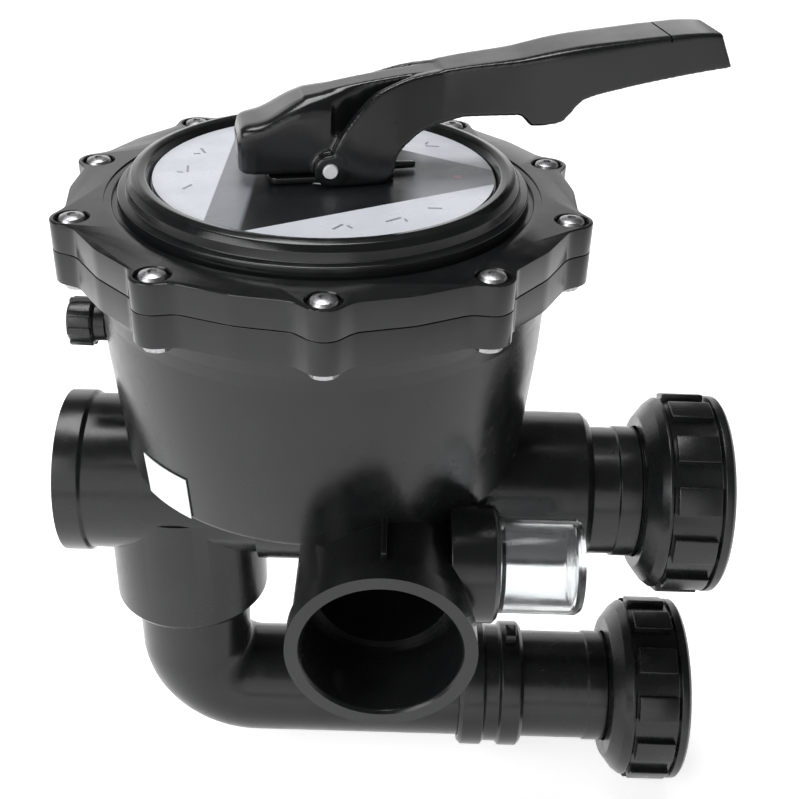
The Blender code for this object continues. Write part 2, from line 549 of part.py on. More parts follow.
def make_small_parts():
    at = (0, 0, PLUG_Z)
    plug = turned([(0, 0.0800), (0.0046, 0.0800), (0.0046, 0.0957), (0.0085, 0.0957), (0.0085, 0.1005),
                   (0.0092, 0.1010), (0.0098, 0.1022), (0.0098, 0.1110), (0.0086, 0.1124), (0, 0.1124)], NARROW)
    plug_obj = place("gauge_plug", plug, BLACK, 0.35, at=at, turn=ALONG_MINUS_X)
    grips = []
    for i in range(8):
        a = 2 * math.pi * i / 8
        bm = box((0.0082, -0.0013, 0.1012), (0.0110, 0.0013, 0.1116))
        bmesh.ops.rotate(bm, verts=bm.verts, matrix=Matrix.Rotation(a, 3, "Z"))
        grips.append(place(f"plug_grip_{i}", bm, at=at, turn=ALONG_MINUS_X))
    combine(plug_obj, "UNION", grips)
    place("sight_glass", turned([
        (0.0130, 0.0377), (0.0170, 0.0377), (0.0170, 0.0475), (0.0200, 0.0475), (0.0200, 0.0797),
        (0.0185, 0.0817), (0, 0.0822), (0, 0.0782), (0.0150, 0.0777), (0.0155, 0.0495), (0.0130, 0.0475)],
        24), CLEAR, 0.05, at=(FRONT_X, -0.075, GLASS_Z), turn=ALONG_X)
    place("cover_seal", ring(0.0897, 0.0026, PARTING_Z - 0.0015, WIDE, 4), RUBBER, 0.7)
    place("position_label", tube(0.0140, LABEL_R, LABEL_Z - 0.0011, LABEL_Z, WIDE), WHITE, 0.3)
    sticker = bmesh.new()
    rows = []
    for height, radius in ((-0.1160, 0.0890), (-0.0960, 0.0907)):
        for lift in (GAP, 0.0008):
            points = arc((0, 0), radius + lift, -141.8, -124.3, 4)
            rows.append([sticker.verts.new((x, y, height)) for x, y in points])
    for one, two in ((0, 1), (1, 3), (3, 2), (2, 0)):
        for k in range(4):
            sticker.faces.new((rows[one][k], rows[one][k + 1], rows[two][k + 1], rows[two][k]))
    for k in (0, 4):
        sticker.faces.new((rows[0][k], rows[1][k], rows[3][k], rows[2][k]))
    place("blank_sticker", sticker, WHITE, 0.5)


make_body()
make_cover()
make_bolts()
make_selector()
make_handle()
make_union("upper", UPPER_Z, 0.0301, -0.0715)
make_union("lower", LOWER_Z, PIPE_R, -0.0785)
make_elbow()
make_small_parts()
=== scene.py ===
"""The looks of the six-position selector valve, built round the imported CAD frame.

Lengths are in metres. Shapes are drawn about the valve's own axis, where height 0 is the top of its
flange, and +X points at the tank. The handle is drawn from its pin.
"""

import math

import bpy
import numpy as np
from mathutils import Euler, Matrix, Vector


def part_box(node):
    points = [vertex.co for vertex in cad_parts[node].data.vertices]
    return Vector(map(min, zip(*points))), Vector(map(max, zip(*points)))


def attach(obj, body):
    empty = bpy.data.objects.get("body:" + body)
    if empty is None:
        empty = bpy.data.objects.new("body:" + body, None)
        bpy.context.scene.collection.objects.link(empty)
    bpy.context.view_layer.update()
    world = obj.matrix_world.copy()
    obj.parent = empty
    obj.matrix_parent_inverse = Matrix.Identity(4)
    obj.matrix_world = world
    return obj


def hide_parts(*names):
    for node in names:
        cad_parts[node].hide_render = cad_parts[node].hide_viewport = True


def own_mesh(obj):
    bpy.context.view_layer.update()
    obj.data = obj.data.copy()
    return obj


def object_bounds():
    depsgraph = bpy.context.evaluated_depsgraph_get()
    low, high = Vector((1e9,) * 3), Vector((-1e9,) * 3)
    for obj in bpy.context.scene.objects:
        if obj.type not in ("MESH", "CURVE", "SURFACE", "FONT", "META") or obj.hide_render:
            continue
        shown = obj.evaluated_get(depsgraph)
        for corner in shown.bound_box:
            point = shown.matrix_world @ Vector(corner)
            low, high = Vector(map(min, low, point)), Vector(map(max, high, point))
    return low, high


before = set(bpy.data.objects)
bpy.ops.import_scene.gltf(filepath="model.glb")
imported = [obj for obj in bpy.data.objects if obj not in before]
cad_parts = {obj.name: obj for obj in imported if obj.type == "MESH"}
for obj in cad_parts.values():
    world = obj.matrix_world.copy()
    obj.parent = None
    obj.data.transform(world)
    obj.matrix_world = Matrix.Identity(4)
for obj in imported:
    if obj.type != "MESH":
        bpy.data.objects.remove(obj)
cad_low, cad_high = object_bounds()

# The valve's dimensions, as the CAD has them. Those ending in _Z are heights above the flange's top.
GAP = 0.0003
EDGE = 0.0007                   # usual rounding of a moulded edge
BOLT_CIRCLE = 0.1025
BOLTS = 10
BOLT_TURN = math.radians(3.4)
UPPER_Z = -0.148
PORT_Z = -0.1445
PORT_REACH = 0.120
PORT_R = 0.0380
MOUTH_BACK = PORT_REACH - 0.0125        # where a port's mouth ring begins
TUBE_R = 0.0366                 # the ports behind their mouth rings
SOCKET_R = 0.0315
SOCKET_DEPTH = 0.038
FRONT_X = 0.029                 # axis of the front and rear ports
PIPE_R = 0.0275
PIPE_BORE = 0.0228
LEG_X = -0.0668                 # axis of the elbow pipe's upright leg
BEND_R = 0.032
BEND_ROWS = 32                  # steps round the pipe's bend
SLEEVE_R = 0.0368
SLEEVE_END = 0.1230
COLLAR_R = 0.0370
COLLAR_END = -0.213
LUG_R = 0.0086
FLANGE_WAIST = 0.1042           # the flange between two lugs
BOLT_HOLE_R = 0.0034
BOLT_END = -0.0290
NUT_HEIGHT = 0.0033
GLASS_Y = -0.075
GLASS_Z = -0.1345
PLUG_Z = -0.065
BOWL_BOTTOM = -0.121
STICKER = ((-0.1160, 0.0890), (-0.0960, 0.0907))    # height of each edge, and the bowl's radius there
PARTING_Z = -0.0122
SKIRT_Z = -0.0255
CHAMBER_R = 0.084
CHAMBERS = 6
CHAMBER_FLOOR = -0.1165
SEAT_Z = -0.050                 # top of the chambers' walls
LABEL_Z = 0.0072
LABEL_R = 0.0696
LABEL_BORE = 0.0140
LABEL_THICK = 0.0011
LABEL_SEAT = LABEL_Z - LABEL_THICK - GAP
PIN_Z = 0.0140                  # the handle's pin
PIN_R = 0.0032
FORK_HALF = 0.0185              # half the handle's width across its fork
BASE_HALF = 0.0134
BASE_TOP = 0.0103
BASE_BORE = 0.0106
NUT_PADS = 12
PLUG_GRIPS = 8
HANDLE_TURN = math.radians(11)
CHORD = 0.0415                  # label centre to the straight edge of each white field
FIELDS = (180, -60, 60)         # where the white fields lie round the label, in degrees

WIDE = 160                      # facets round the bowl and cover
PORT = 96
SMALL = 48
TINY = 32
EDGE_ROWS = 3                   # steps across a rounded edge

label_low, label_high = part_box("position_label")
AXIS = Vector(((label_low.x + label_high.x) / 2, (label_low.y + label_high.y) / 2, label_high.z - LABEL_Z))
_, upper_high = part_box("union_tail_upper")
lower_low, lower_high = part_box("union_tail_lower")
FACE_X = upper_high.x - AXIS.x
LOWER_Z = (lower_low.z + lower_high.z) / 2 - AXIS.z

TO_AXIS = Matrix.Translation(AXIS)
ALONG_X = Matrix.Rotation(math.pi / 2, 4, "Y")
ALONG_MINUS_X = Matrix.Rotation(-math.pi / 2, 4, "Y")
ALONG_MINUS_Y = Matrix.Rotation(math.pi / 2, 4, "X")
ALONG_Y = Matrix.Rotation(-math.pi / 2, 4, "X")
HINGE = Matrix.Translation((0, 0, PIN_Z)) @ Matrix.Rotation(HANDLE_TURN, 4, "Z")


def at(x, y, z, turn=Matrix.Identity(4)):
    return Matrix.Translation((x, y, z)) @ turn


# ---------------------------------------------------------------- shapes
def soften(points, closed=False, steps=4):
    """Rounds each corner of (x, y, radius) points. A radius of 0 leaves it as it is."""
    result = []
    count = len(points)
    for i, (x, y, radius) in enumerate(points):
        here = Vector((x, y))
        before = Vector(points[i - 1][:2]) - here
        after = Vector(points[(i + 1) % count][:2]) - here
        ends = not closed and i in (0, count - 1)
        if radius == 0 or ends or before.angle(after) > math.radians(176):
            result.append((x, y))
            continue
        reach = min(radius / math.tan(before.angle(after) / 2), 0.45 * before.length, 0.45 * after.length)
        one, two = here + before.normalized() * reach, here + after.normalized() * reach
        for k in range(steps + 1):
            t = k / steps
            result.append(tuple((1 - t) ** 2 * one + 2 * t * (1 - t) * here + t * t * two))
    return result


def rounded(profile, radius=EDGE, closed=False, steps=4):
    return soften([(*point, radius) for point in profile], closed, steps)


def mesh_of(name, points, faces):
    mesh = bpy.data.meshes.new(name)
    mesh.from_pydata([tuple(p) for p in points], [], faces)
    mesh.validate()
    return mesh


def shape(name, points, faces, matrix=Matrix.Identity(4)):
    """A helper object from points and faces, with its normals facing out."""
    mesh = mesh_of(name, points, faces)
    mesh.transform(TO_AXIS @ matrix)
    mesh.calc_loop_triangles()
    corners = np.array([[mesh.vertices[i].co[:] for i in t.vertices] for t in mesh.loop_triangles])
    if np.linalg.det(corners - np.array(AXIS)).sum() < 0:
        mesh.flip_normals()
    obj = bpy.data.objects.new(name, mesh)
    bpy.context.scene.collection.objects.link(obj)
    return obj


def turned(name, profile, segments, matrix=Matrix.Identity(4)):
    """A closed solid turned about Z from (radius, height) points: a loop, or a line from axis to axis."""
    points, rings, faces = [], [], []
    for radius, height in profile:
        if radius == 0:
            rings.append([len(points)])
            points.append((0, 0, height))
            continue
        rings.append(list(range(len(points), len(points) + segments)))
        points += [(radius * math.cos(a), radius * math.sin(a), height)
                   for a in (2 * math.pi * i / segments for i in range(segments))]
    pairs = list(zip(rings, rings[1:]))
    if len(rings[0]) > 1:
        pairs.append((rings[-1], rings[0]))
    for low, high in pairs:
        for i in range(segments):
            j = (i + 1) % segments
            corners = [low[i % len(low)], low[j % len(low)], high[j % len(high)], high[i % len(high)]]
            corners = list(dict.fromkeys(corners))
            if len(corners) > 2:
                faces.append(corners)
    return shape(name, points, faces, matrix)


def rod(name, radius, low, high, segments=PORT, matrix=Matrix.Identity(4)):
    return turned(name, [(0, low), (radius, low), (radius, high), (0, high)], segments, matrix)


def stacked(name, loops, matrix=Matrix.Identity(4)):
    """A closed solid through loops of points, capped at both ends."""
    count = len(loops[0])
    points = [p for loop in loops for p in loop]
    faces = [list(range(count)), list(range(len(points) - count, len(points)))[::-1]]
    for level in range(len(loops) - 1):
        for i in range(count):
            j = (i + 1) % count
            low, high = level * count, (level + 1) * count
            faces.append([low + j, low + i, high + i, high + j])
    return shape(name, points, faces, matrix)


def soft_prism(name, outline, low, high, edge=EDGE, matrix=Matrix.Identity(4)):
    """An extruded outline in XY whose top and bottom edges are rounded, or left sharp by an edge of 0."""
    flat = np.array(outline)
    ahead, behind = np.roll(flat, -1, 0) - flat, flat - np.roll(flat, 1, 0)
    area = (flat[:, 0] * np.roll(flat[:, 1], -1) - flat[:, 1] * np.roll(flat[:, 0], -1)).sum()
    side = np.array([[0, 1], [-1, 0]]) * np.sign(area)
    normals = [v / np.linalg.norm(v, axis=1)[:, None] @ side for v in (ahead, behind)]
    both = normals[0] + normals[1]
    out = both / np.maximum((both ** 2).sum(1)[:, None] / 2, 0.6)
    rows = [(low, 0), (high, 0)]
    if edge:
        turns = [math.pi / 2 * k / EDGE_ROWS for k in range(EDGE_ROWS + 1)]
        rows = [(low + edge * (1 - math.sin(a)), edge * (1 - math.cos(a))) for a in turns[::-1]]
        rows += [(high - edge * (1 - math.sin(a)), edge * (1 - math.cos(a))) for a in turns]
    return stacked(name, [[(x, y, height) for x, y in flat + out * inset] for height, inset in rows], matrix)


def block(name, low, high, edge=EDGE, matrix=Matrix.Identity(4)):
    """A box with rounded edges."""
    outline = [(low[0], low[1]), (high[0], low[1]), (high[0], high[1]), (low[0], high[1])]
    if edge:
        outline = rounded(outline, edge, closed=True)
    return soft_prism(name, outline, low[2], high[2], edge, matrix)


def arc(radius, start, end, steps, centre=(0, 0)):
    """Points on an arc, in degrees."""
    angles = (math.radians(start + (end - start) * i / steps) for i in range(steps + 1))
    return [(centre[0] + radius * math.cos(a), centre[1] + radius * math.sin(a)) for a in angles]


def evaluated(obj, name):
    """The object's mesh with its modifiers applied, in place of the object."""
    graph = bpy.context.evaluated_depsgraph_get()
    mesh = bpy.data.meshes.new_from_object(obj.evaluated_get(graph))
    made = bpy.data.objects.new(name, mesh)
    bpy.context.scene.collection.objects.link(made)
    return made


def combined(name, base, joined=(), cuts=(), limits=()):
    """The base with shapes joined to it, then cut from it, then kept only inside its limits, as one mesh."""
    for operation, others in (("UNION", joined), ("DIFFERENCE", cuts), ("INTERSECT", limits)):
        for other in others:
            modifier = base.modifiers.new(other.name, "BOOLEAN")
            modifier.operation, modifier.solver, modifier.object = operation, "MANIFOLD", other
    made = evaluated(base, name)
    for old in [base, *joined, *cuts, *limits]:
        bpy.data.objects.remove(old)
    return made


def moulded(obj, name, voxel, smoothing):
    """The same solid with every inner and outer corner run together, as a mould leaves it."""
    remesh = obj.modifiers.new("remesh", "REMESH")
    remesh.mode, remesh.voxel_size = "VOXEL", voxel
    smooth = obj.modifiers.new("smooth", "SMOOTH")
    smooth.factor, smooth.iterations = 0.5, smoothing
    made = evaluated(obj, name)
    bpy.data.objects.remove(obj)
    return made


# ---------------------------------------------------------------- materials
def new_material(name):
    made = bpy.data.materials.new(name)
    made.use_nodes = True
    return made, made.node_tree, made.node_tree.nodes["Principled BSDF"]


def node(tree, kind, inputs=None, **settings):
    made = tree.nodes.new(kind)
    for key, value in settings.items():
        setattr(made, key, value)
    for key, value in (inputs or {}).items():
        if isinstance(value, bpy.types.NodeSocket):
            tree.links.new(value, made.inputs[key])
        else:
            made.inputs[key].default_value = value
    return made


def noise(tree, where, scale, detail=2.0, roughness=0.5):
    return node(tree, "ShaderNodeTexNoise", {
        "Vector": where, "Scale": scale, "Detail": detail, "Roughness": roughness}).outputs["Fac"]


def ranged(tree, value, low, high, start=0.3, end=0.7):
    return node(tree, "ShaderNodeMapRange", {
        "Value": value, "From Min": start, "From Max": end, "To Min": low, "To Max": high}).outputs["Result"]


def blended(tree, factor, one, two):
    """From one colour, where the factor is 0, to the other."""
    mix = node(tree, "ShaderNodeMix", {"Factor": factor, "A": one, "B": two}, data_type="RGBA")
    return mix.outputs["Result"]


def edge_wear(tree):
    """1 on rounded-off edges and 0 on open faces."""
    soft = node(tree, "ShaderNodeBevel", {"Radius": 0.0008}, samples=4)
    face = node(tree, "ShaderNodeNewGeometry")
    same = node(tree, "ShaderNodeVectorMath", {0: soft.outputs["Normal"], 1: face.outputs["Normal"]},
                operation="DOT_PRODUCT")
    return ranged(tree, same.outputs["Value"], 1.0, 0.0, 0.86, 0.995)


def moulded_plastic(name, colour, dusty, rough, grain=0.00002):
    """Glossy injection-moulded plastic: fine skin, slow sink waves, uneven gloss and rubbed edges."""
    made, tree, shader = new_material(name)
    where = node(tree, "ShaderNodeTexCoord").outputs["Object"]
    cloudy = noise(tree, where, 34.0, 4.0, 0.6)
    flow = noise(tree, where, 160.0, 3.0)
    worn = edge_wear(tree)
    mottled = blended(tree, ranged(tree, cloudy, 0.0, 1.0), colour, dusty)
    rubbed = tuple(min(1.0, 1.7 * c + 0.012) for c in dusty[:3]) + (1.0,)
    strength = node(tree, "ShaderNodeMath", {0: worn, 1: ranged(tree, flow, 0.1, 0.6)}, operation="MULTIPLY")
    tree.links.new(blended(tree, strength.outputs[0], mottled, rubbed), shader.inputs["Base Color"])
    gloss = node(tree, "ShaderNodeMath", {0: ranged(tree, cloudy, rough - 0.04, rough + 0.04),
                                          1: ranged(tree, flow, -0.03, 0.04)}, operation="ADD")
    tree.links.new(gloss.outputs[0], shader.inputs["Roughness"])
    slow = node(tree, "ShaderNodeBump", {"Height": noise(tree, where, 22.0, 1.0), "Distance": 0.00012,
                                         "Strength": 0.5})
    skin = node(tree, "ShaderNodeBump", {"Height": noise(tree, where, 2400.0, 2.0), "Distance": grain,
                                         "Strength": 0.6, "Normal": slow.outputs["Normal"]})
    tree.links.new(skin.outputs["Normal"], shader.inputs["Normal"])
    shader.inputs["Specular IOR Level"].default_value = 0.43
    return made


def steel(name, colour, rough):
    """Zinc-bright steel with fine turning marks and dull specks."""
    made, tree, shader = new_material(name)
    where = node(tree, "ShaderNodeTexCoord").outputs["Object"]
    specks = noise(tree, where, 900.0, 3.0, 0.7)
    stretched = node(tree, "ShaderNodeMapping", {"Vector": where, "Scale": (300.0, 300.0, 4000.0)})
    marks = noise(tree, stretched.outputs["Vector"], 1.0, 1.0)
    dull = tuple(0.55 * c for c in colour[:3]) + (1.0,)
    tree.links.new(blended(tree, ranged(tree, specks, 0.0, 0.7), colour, dull), shader.inputs["Base Color"])
    tree.links.new(ranged(tree, specks, rough - 0.06, rough + 0.14), shader.inputs["Roughness"])
    bump = node(tree, "ShaderNodeBump", {"Height": marks, "Distance": 0.00004, "Strength": 0.5})
    tree.links.new(bump.outputs["Normal"], shader.inputs["Normal"])
    shader.inputs["Metallic"].default_value = 1.0
    return made


def rubber(name):
    """Dull black rubber with a pale bloom."""
    made, tree, shader = new_material(name)
    where = node(tree, "ShaderNodeTexCoord").outputs["Object"]
    bloom = noise(tree, where, 120.0, 4.0, 0.7)
    mixed = blended(tree, ranged(tree, bloom, 0.0, 0.5), (0.012, 0.012, 0.013, 1), (0.05, 0.05, 0.052, 1))
    tree.links.new(mixed, shader.inputs["Base Color"])
    tree.links.new(ranged(tree, bloom, 0.6, 0.85), shader.inputs["Roughness"])
    bump = node(tree, "ShaderNodeBump", {"Height": noise(tree, where, 1500.0, 2.0), "Distance": 0.00004})
    tree.links.new(bump.outputs["Normal"], shader.inputs["Normal"])
    return made


def white_film(name, colour, shade, rough):
    """Printed film or white plastic, with faint yellowing, a soft gloss and handling marks."""
    made, tree, shader = new_material(name)
    where = node(tree, "ShaderNodeTexCoord").outputs["Object"]
    cloudy = noise(tree, where, 60.0, 5.0, 0.65)
    mixed = blended(tree, ranged(tree, cloudy, 0.0, 0.8), colour, shade)
    tree.links.new(mixed, shader.inputs["Base Color"])
    tree.links.new(ranged(tree, cloudy, rough - 0.08, rough + 0.1), shader.inputs["Roughness"])
    bump = node(tree, "ShaderNodeBump", {"Height": noise(tree, where, 500.0, 3.0), "Distance": 0.00003,
                                         "Strength": 0.5})
    tree.links.new(bump.outputs["Normal"], shader.inputs["Normal"])
    return made, tree, shader, mixed


def label_film():
    """White fields outside three chords, and a grey triangle between them with a band across its middle
    painted near-black as the handle's shadow and its reflection in the glossy film.
    """
    made, tree, shader, white = white_film("label_film", (0.60, 0.62, 0.66, 1), (0.50, 0.52, 0.57, 1), 0.32)
    where = node(tree, "ShaderNodeTexCoord").outputs["Object"]
    centred = node(tree, "ShaderNodeVectorMath", {0: where, 1: tuple(AXIS)}, operation="SUBTRACT")
    fields = None
    for degrees in FIELDS:
        a = math.radians(degrees)
        along = node(tree, "ShaderNodeVectorMath", {0: centred.outputs[0], 1: (math.cos(a), math.sin(a), 0)},
                     operation="DOT_PRODUCT")
        beyond = ranged(tree, along.outputs["Value"], 0.0, 1.0, CHORD - 0.0002, CHORD + 0.0002)
        if fields is None:
            fields = beyond
            continue
        fields = node(tree, "ShaderNodeMath", {0: fields, 1: beyond}, operation="MAXIMUM").outputs[0]
    # Painted shade: a band across the triangle under the handle is near-black for the handle's shadow and its
    # reflection, easing to the triangle's own grey on either side.
    across = node(tree, "ShaderNodeSeparateXYZ", {"Vector": centred.outputs[0]}).outputs["X"]
    left = ranged(tree, across, 1.0, 0.0, -0.0285, -0.0265)
    right = ranged(tree, across, 0.0, 1.0, 0.031, 0.040)
    beside_handle_shade = node(tree, "ShaderNodeMath", {0: left, 1: right}, operation="MAXIMUM").outputs[0]
    dark = blended(tree, beside_handle_shade, (0.010, 0.0105, 0.012, 1), (0.20, 0.21, 0.23, 1))
    tree.links.new(blended(tree, fields, dark, white), shader.inputs["Base Color"])
    shader.inputs["Specular IOR Level"].default_value = 0.3
    return made


def clear_plastic():
    """Slightly hazy clear plastic with slow waves."""
    made, tree, shader = new_material("clear_plastic")
    where = node(tree, "ShaderNodeTexCoord").outputs["Object"]
    haze = noise(tree, where, 90.0, 4.0, 0.6)
    tree.links.new(ranged(tree, haze, 0.06, 0.20), shader.inputs["Roughness"])
    tint = blended(tree, ranged(tree, haze, 0.0, 1.0), (0.95, 0.97, 0.97, 1), (0.88, 0.90, 0.91, 1))
    tree.links.new(tint, shader.inputs["Base Color"])
    bump = node(tree, "ShaderNodeBump", {"Height": noise(tree, where, 45.0, 2.0), "Distance": 0.0002})
    tree.links.new(bump.outputs["Normal"], shader.inputs["Normal"])
    shader.inputs["Transmission Weight"].default_value = 1.0
    shader.inputs["IOR"].default_value = 1.28
    return made


BLACK = moulded_plastic("black_plastic", (0.005, 0.0052, 0.0056, 1), (0.009, 0.0094, 0.010, 1), 0.24)
GLOSS = moulded_plastic("gloss_plastic", (0.004, 0.0042, 0.0046, 1), (0.008, 0.0084, 0.009, 1), 0.17)
HANDLE = moulded_plastic("handle_plastic", (0.005, 0.0052, 0.0057, 1), (0.009, 0.0094, 0.0102, 1), 0.20)
KNURL = moulded_plastic("knurled_plastic", (0.005, 0.0052, 0.0056, 1), (0.010, 0.0104, 0.011, 1), 0.27,
                        grain=0.00004)
STEEL = steel("fastener_steel", (0.42, 0.42, 0.43, 1), 0.30)
SPRING = steel("inner_steel", (0.55, 0.54, 0.52, 1), 0.34)
RUBBER = rubber("seal_rubber")
WHITE = white_film("white_plastic", (0.80, 0.81, 0.82, 1), (0.68, 0.69, 0.70, 1), 0.35)[0]
PAPER = white_film("sticker_paper", (0.84, 0.85, 0.86, 1), (0.72, 0.73, 0.75, 1), 0.55)[0]
INK = white_film("label_ink", (0.20, 0.21, 0.23, 1), (0.30, 0.31, 0.34, 1), 0.4)[0]
RED_INK = white_film("label_red_ink", (0.40, 0.24, 0.26, 1), (0.48, 0.30, 0.32, 1), 0.4)[0]
LABEL = label_film()
CLEAR = clear_plastic()


def show(obj, material, body, slot, *nodes, sharp=30):
    """Gives a finished piece its material, and puts it in place of its CAD nodes."""
    obj.data.materials.clear()
    obj.data.materials.append(material)
    for polygon in obj.data.polygons:
        polygon.material_index = 0
    obj.data.shade_smooth()
    obj.data.set_sharp_from_angle(angle=math.radians(sharp))
    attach(obj, body)
    if nodes:
        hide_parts(*nodes)
    return obj


# ---------------------------------------------------------------- body and cover
def lugged_outline(waist):
    """The flange's outline: a shallow waist between round lugs at the bolts."""
    points = []
    for i in range(BOLTS):
        middle = 360 / BOLTS * i - 90 + math.degrees(BOLT_TURN)
        angle = math.radians(middle)
        centre = (BOLT_CIRCLE * math.cos(angle), BOLT_CIRCLE * math.sin(angle))
        lug = arc(LUG_R, middle - 50, middle + 50, 14, centre)
        points += [(*p, 0) for p in lug]
        for turn, scale, radius in ((6.0, 1.002, 0.009), (18, 1.0, 0.03), (30, 1.002, 0.009)):
            a = math.radians(middle + turn)
            points.append((waist * scale * math.cos(a), waist * scale * math.sin(a), radius))
    return soften(points, closed=True)


def bolt_places():
    for i in range(BOLTS):
        angle = math.radians(360 / BOLTS * i - 90) + BOLT_TURN
        yield BOLT_CIRCLE * math.cos(angle), BOLT_CIRCLE * math.sin(angle)


def bolt_rods(name, radius, low, high, segments=20):
    return [rod(f"{name}_{i}", radius, low, high, segments, at(x, y, 0))
            for i, (x, y) in enumerate(bolt_places())]


def wedge(inner, outer, half_web, middle):
    """A chamber's outline: its share of a ring, less half a web on each side."""
    half_turn = 180 / CHAMBERS
    out = half_turn - math.degrees(math.asin(half_web / outer))
    into = half_turn - math.degrees(math.asin(half_web / inner))
    return arc(outer, middle - out, middle + out, 12) + arc(inner, middle + into, middle - into, 6)


def port_profile(start):
    """A port from inside the bowl to its mouth ring."""
    return [(0, start)] + rounded([
        (TUBE_R, start), (TUBE_R, MOUTH_BACK), (PORT_R, PORT_REACH - 0.0110),
        (PORT_R, PORT_REACH)], 0.0011) + [(PORT_R - 0.0020, PORT_REACH), (0, PORT_REACH)]


def make_body():
    bowl = turned("bowl", [(0, PARTING_Z - 0.002)] + rounded([
        (0.0962, PARTING_Z - 0.002), (0.0962, -0.030), (0.0950, -0.036), (0.0943, -0.042),
        (0.0935, -0.064), (0.0889, CHAMBER_FLOOR), (0.083, BOWL_BOTTOM)], 0.0035, steps=6)
        + [(0, BOWL_BOTTOM)], WIDE)
    sleeve = turned("sleeve", [(0, -0.03)] + rounded([
        (SLEEVE_R, -0.03), (SLEEVE_R, 0.1195), (0.0335, SLEEVE_END), (0.0300, SLEEVE_END)])
        + [(0, SLEEVE_END)], PORT, at(0, 0, UPPER_Z, ALONG_X))
    collar = turned("collar", [(0, COLLAR_END)] + rounded([
        (0.0300, COLLAR_END), (0.0345, COLLAR_END), (COLLAR_R, -0.2095), (COLLAR_R, -0.15)])
        + [(0, -0.15)], PORT, at(LEG_X, 0, 0))
    glass_place = at(FRONT_X, GLASS_Y, GLASS_Z, ALONG_X)
    boss = turned("boss", [(0, 0.0270)] + rounded([
        (0.0200, 0.0270), (0.0245, 0.0270), (0.0245, 0.0450), (0.0225, 0.0470), (0.0180, 0.0470)])
        + [(0, 0.0470)], PORT, glass_place)
    joined = [
        soft_prism("flange", lugged_outline(FLANGE_WAIST), SKIRT_Z, PARTING_Z, 0.0002),
        turned("left", port_profile(0.02), PORT, at(0, 0, PORT_Z, ALONG_MINUS_X)),
        turned("front", port_profile(-0.02), PORT, at(FRONT_X, 0, PORT_Z, ALONG_MINUS_Y)),
        turned("rear", port_profile(-0.0201), PORT, at(FRONT_X, 0, PORT_Z, ALONG_Y)),
        sleeve, collar, boss,
        block("duct", (-0.09, -0.006, -0.1895), (0.0, 0.034, -0.118), 0.003),
        rod("plug_boss", 0.0075, 0.085, 0.0955, SMALL, at(0, 0, PLUG_Z, ALONG_MINUS_X)),
    ]
    for name, side in (("front", -1), ("rear", 1)):
        low, high = sorted((side * 0.060, side * MOUTH_BACK))
        joined.append(block(f"rib_{name}", (FRONT_X - 0.0011, low, PORT_Z + 0.030),
                            (FRONT_X + 0.0011, high, PORT_Z + PORT_R + 0.0020), 0.0005))
    cuts = [
        rod("chamber", CHAMBER_R, SEAT_Z, 0, WIDE),
        turned("seal_groove", [(0.0872, PARTING_Z - 0.003), (0.0922, PARTING_Z - 0.003),
                               (0.0922, PARTING_Z + 0.001), (0.0872, PARTING_Z + 0.001)], WIDE),
    ] + bolt_rods("bolt_hole", BOLT_HOLE_R, -0.04, 0)
    for i in range(CHAMBERS):
        outline = wedge(0.015, 0.0825, 0.0025, 360 / CHAMBERS * i)
        cuts.append(soft_prism(f"sector_{i}", outline, CHAMBER_FLOOR, SEAT_Z + 0.002, 0))
    socket = [(0, PORT_REACH - SOCKET_DEPTH), (SOCKET_R, PORT_REACH - SOCKET_DEPTH),
              (SOCKET_R, PORT_REACH - 0.002), (SOCKET_R + 0.0006, PORT_REACH - 0.0008),
              (SOCKET_R + 0.0021, PORT_REACH + 0.001), (0, PORT_REACH + 0.001)]
    for name, place, end in (
        ("left", at(0, 0, PORT_Z, ALONG_MINUS_X), 0.046),
        ("front", at(FRONT_X, 0, PORT_Z, ALONG_MINUS_Y), 0.036),
        ("rear", at(FRONT_X, 0, PORT_Z, ALONG_Y), 0.036),
    ):
        cuts.append(turned(f"{name}_socket", socket, PORT, place))
        cuts.append(rod(f"{name}_bore", 0.0285, end, PORT_REACH - 0.02, PORT, place))
    cuts += [
        rod("sleeve_bore", 0.0304, 0.032, 0.13, PORT, at(0, 0, UPPER_Z, ALONG_X)),
        block("sleeve_rise", (0.040, -0.015, -0.140), (0.074, 0.015, -0.110), 0),
        rod("collar_bore", PIPE_R + 2 * GAP, -0.22, -0.188, PORT, at(LEG_X, 0, 0)),
        rod("leg_bore", 0.0232, -0.19, -0.178, PORT, at(LEG_X, 0, 0)),
        block("duct_bore", (-0.086, -0.002, -0.1855), (-0.004, 0.030, -0.1745), 0),
        block("riser", (-0.026, 0.016, -0.180), (-0.008, 0.0285, -0.110), 0),
        rod("glass_seat", 0.0176, 0.0370, 0.06, PORT, glass_place),
        rod("glass_way", 0.010, 0.02, 0.045, SMALL, glass_place),
        rod("plug_hole", 0.0050, 0.075, 0.10, SMALL, at(0, 0, PLUG_Z, ALONG_MINUS_X)),
    ]
    show(combined("body_shell", bowl, joined, cuts), BLACK, "valve", "black_plastic", "valve_body")


